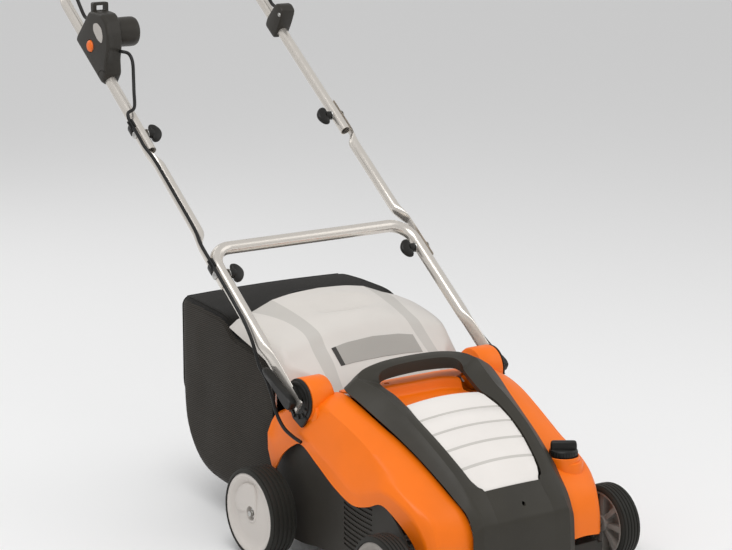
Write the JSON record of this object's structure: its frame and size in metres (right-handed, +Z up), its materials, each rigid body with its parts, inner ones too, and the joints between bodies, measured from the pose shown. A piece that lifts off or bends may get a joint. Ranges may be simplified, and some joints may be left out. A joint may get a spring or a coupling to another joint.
{
  "type": "lawn dethatcher",
  "caption": "Walk-behind electric lawn dethatcher with a tine rotor, four wheels, a folding tube handle, a rear flap and a fabric catcher bag.",
  "frame": {"origin": "middle of the bottom of the bounding box, on the ground plane", "axes": "+X is the machine's left side, +Y the rear, towards the operator, -Y the front, +Z up"},
  "size_m": [0.578, 1.2924, 1.0379],
  "materials": {
    "orange_shell": "satin moulded ABS, warm orange",
    "hood_grey": "fine-grained dark grey polypropylene",
    "cover_white": "semi-gloss white moulding",
    "deck_grey": "fine-grained dark grey polypropylene",
    "flap_grey": "satin light grey moulding",
    "bag_cloth": "woven dark grey polyester",
    "tube_silver": "champagne silver coat, half gloss",
    "black_plastic": "satin black moulding",
    "switch_grey": "fine-grained dark grey moulding",
    "cable_black": "satin black cable jacket",
    "bright_steel": "zinc-plated steel",
    "dark_wire": "black plastic-coated steel rod",
    "tyre_black": "matt moulded tread",
    "rear_rim_grey": "satin light grey moulding",
    "front_rim_grey": "satin mid grey moulding",
    "cap_white": "semi-gloss white moulding",
    "button_orange": "semi-gloss orange moulding",
    "motor_case": "plain drum and end caps",
    "belt_rubber": "matt moulded rubber",
    "pulley_grey": "glass-filled nylon"
  },
  "bodies": {
    "chassis": {"top_housing": "orange_shell", "hood": "hood_grey", "motor_cover": "cover_white", "deck": "deck_grey", "flap_pin": "bright_steel", "rear_axle": "bright_steel", "motor": "motor_case", "drive_belt": "belt_rubber", "rotor_bearing_left": "bright_steel", "rotor_bearing_right": "bright_steel", "cable_root": "cable_black"},
    "lower_handle_set": {"lower_handle": "tube_silver", "handle_bracket_left": "black_plastic", "handle_bracket_right": "black_plastic", "clamp_bolt_left": "bright_steel", "clamp_bolt_right": "bright_steel", "cable_lower": "cable_black"},
    "clamp_lever_left": {"clamp_lever_left": "black_plastic"},
    "clamp_lever_right": {"clamp_lever_right": "black_plastic"},
    "mid_tube_set": {"mid_tube_left": "tube_silver", "mid_tube_right": "tube_silver", "lower_bolt_left": "bright_steel", "lower_bolt_right": "bright_steel", "upper_bolt_left": "bright_steel", "upper_bolt_right": "bright_steel", "cable_clip_upper": "black_plastic", "cable_clip_lower": "black_plastic", "cable_mid": "cable_black"},
    "upper_handle_set": {"upper_handle": "tube_silver", "switch_box": "switch_grey", "bail_bracket": "switch_grey", "cable_upper": "cable_black"},
    "lower_knob_left": {"lower_knob_left": "black_plastic"},
    "lower_knob_right": {"lower_knob_right": "black_plastic"},
    "upper_knob_left": {"upper_knob_left": "black_plastic"},
    "upper_knob_right": {"upper_knob_right": "black_plastic"},
    "switch_bail": {"switch_bail": "dark_wire"},
    "start_button": {"start_button": "button_orange"},
    "rear_flap": {"rear_flap": "flap_grey"},
    "catcher_bag": {"bag": "bag_cloth", "bag_frame": "bright_steel", "bag_loop": "cable_black"},
    "rear_wheel_left": {"rear_tyre_left": "tyre_black", "rear_rim_left": "rear_rim_grey"},
    "rear_wheel_right": {"rear_tyre_right": "tyre_black", "rear_rim_right": "rear_rim_grey"},
    "front_axle": {"front_axle": "bright_steel"},
    "front_wheel_left": {"front_tyre_left": "tyre_black", "front_rim_left": "front_rim_grey", "front_cap_left": "cap_white"},
    "front_wheel_right": {"front_tyre_right": "tyre_black", "front_rim_right": "front_rim_grey", "front_cap_right": "cap_white"},
    "depth_dial": {"depth_dial": "black_plastic"},
    "rotor": {"rotor_shaft": "bright_steel", "rotor_pulley": "pulley_grey"},
    "motor_rotor": {"motor_shaft": "bright_steel", "motor_pulley": "pulley_grey"}
  },
  "joints": [
    {"name": "handle_tilt", "type": "hinge", "parent": "chassis", "child": "lower_handle_set", "pos_m": [0, -0.25323, 0.309], "axis": [1, 0, 0], "range_deg": [-4, 24], "deforming": ["cable_root", "cable_lower"]},
    {"name": "clamp_lever_left", "type": "hinge", "parent": "lower_handle_set", "child": "clamp_lever_left", "pos_m": [0, -0.25323, 0.309], "axis": [1, 0, 0], "range_deg": [0, 100]},
    {"name": "clamp_lever_right", "type": "hinge", "parent": "lower_handle_set", "child": "clamp_lever_right", "pos_m": [0, -0.25323, 0.309], "axis": [1, 0, 0], "range_deg": [0, 100]},
    {"name": "lower_fold", "type": "hinge", "parent": "lower_handle_set", "child": "mid_tube_set", "pos_m": [0, -0.0061, 0.49863], "axis": [1, 0, 0], "range_deg": [0, 140], "deforming": ["cable_lower", "cable_mid"]},
    {"name": "upper_fold", "type": "hinge", "parent": "mid_tube_set", "child": "upper_handle_set", "pos_m": [0, 0.29141, 0.72691], "axis": [1, 0, 0], "range_deg": [-110, 0], "deforming": ["cable_mid", "cable_upper"]},
    {"name": "lower_knob_left_spin", "type": "hinge", "parent": "mid_tube_set", "child": "lower_knob_left", "pos_m": [0, -0.0061, 0.49863], "axis": [1, 0, 0], "continuous": true},
    {"name": "lower_knob_right_spin", "type": "hinge", "parent": "mid_tube_set", "child": "lower_knob_right", "pos_m": [0, -0.0061, 0.49863], "axis": [1, 0, 0], "continuous": true},
    {"name": "upper_knob_left_spin", "type": "hinge", "parent": "mid_tube_set", "child": "upper_knob_left", "pos_m": [0, 0.29141, 0.72691], "axis": [1, 0, 0], "continuous": true},
    {"name": "upper_knob_right_spin", "type": "hinge", "parent": "mid_tube_set", "child": "upper_knob_right", "pos_m": [0, 0.29141, 0.72691], "axis": [1, 0, 0], "continuous": true},
    {"name": "switch_bail_squeeze", "type": "hinge", "parent": "upper_handle_set", "child": "switch_bail", "pos_m": [0, 0.47983, 0.9257], "axis": [1, 0, 0], "range_deg": [-11, 0], "stiffness_Nm_per_rad": 1.5, "springref_deg": 22.92},
    {"name": "start_button_press", "type": "slide", "parent": "upper_handle_set", "child": "start_button", "axis": [1, 0, 0], "range_m": [0, 0.003], "stiffness_N_per_m": 500, "springref_m": -0.003},
    {"name": "rear_flap_lift", "type": "hinge", "parent": "chassis", "child": "rear_flap", "pos_m": [0, -0.24773, 0.3], "axis": [1, 0, 0], "range_deg": [0, 48], "stiffness_Nm_per_rad": 0.6, "springref_deg": -28.65},
    {"name": "bag_pull", "type": "slide", "parent": "chassis", "child": "catcher_bag", "axis": [0, 1, 0], "range_m": [0, 0.3]},
    {"name": "rear_wheel_left_spin", "type": "hinge", "parent": "chassis", "child": "rear_wheel_left", "pos_m": [0, -0.18223, 0.0865], "axis": [1, 0, 0], "continuous": true},
    {"name": "rear_wheel_right_spin", "type": "hinge", "parent": "chassis", "child": "rear_wheel_right", "pos_m": [0, -0.18223, 0.0865], "axis": [1, 0, 0], "continuous": true},
    {"name": "front_axle_swing", "type": "hinge", "parent": "chassis", "child": "front_axle", "pos_m": [0, -0.48423, 0.097], "axis": [1, 0, 0], "range_deg": [-5, 5]},
    {"name": "front_wheel_left_spin", "type": "hinge", "parent": "front_axle", "child": "front_wheel_left", "pos_m": [0, -0.56323, 0.0725], "axis": [1, 0, 0], "continuous": true},
    {"name": "front_wheel_right_spin", "type": "hinge", "parent": "front_axle", "child": "front_wheel_right", "pos_m": [0, -0.56323, 0.0725], "axis": [1, 0, 0], "continuous": true},
    {"name": "depth_dial_turn", "type": "hinge", "parent": "chassis", "child": "depth_dial", "pos_m": [0.156, -0.54873, 0.2105], "axis": [0, 0, 1], "range_deg": [-90, 90]},
    {"name": "rotor_spin", "type": "hinge", "parent": "chassis", "child": "rotor", "pos_m": [0, -0.37223, 0.08], "axis": [1, 0, 0], "continuous": true},
    {"name": "motor_spin", "type": "hinge", "parent": "chassis", "child": "motor_rotor", "pos_m": [0, -0.51023, 0.16], "axis": [1, 0, 0], "continuous": true}
  ],
  "couplings": [
    {"joint": "depth_dial_turn", "follows": "front_axle_swing", "ratio": 17.9},
    {"joint": "motor_spin", "follows": "rotor_spin", "ratio": 1.9706}
  ]
}
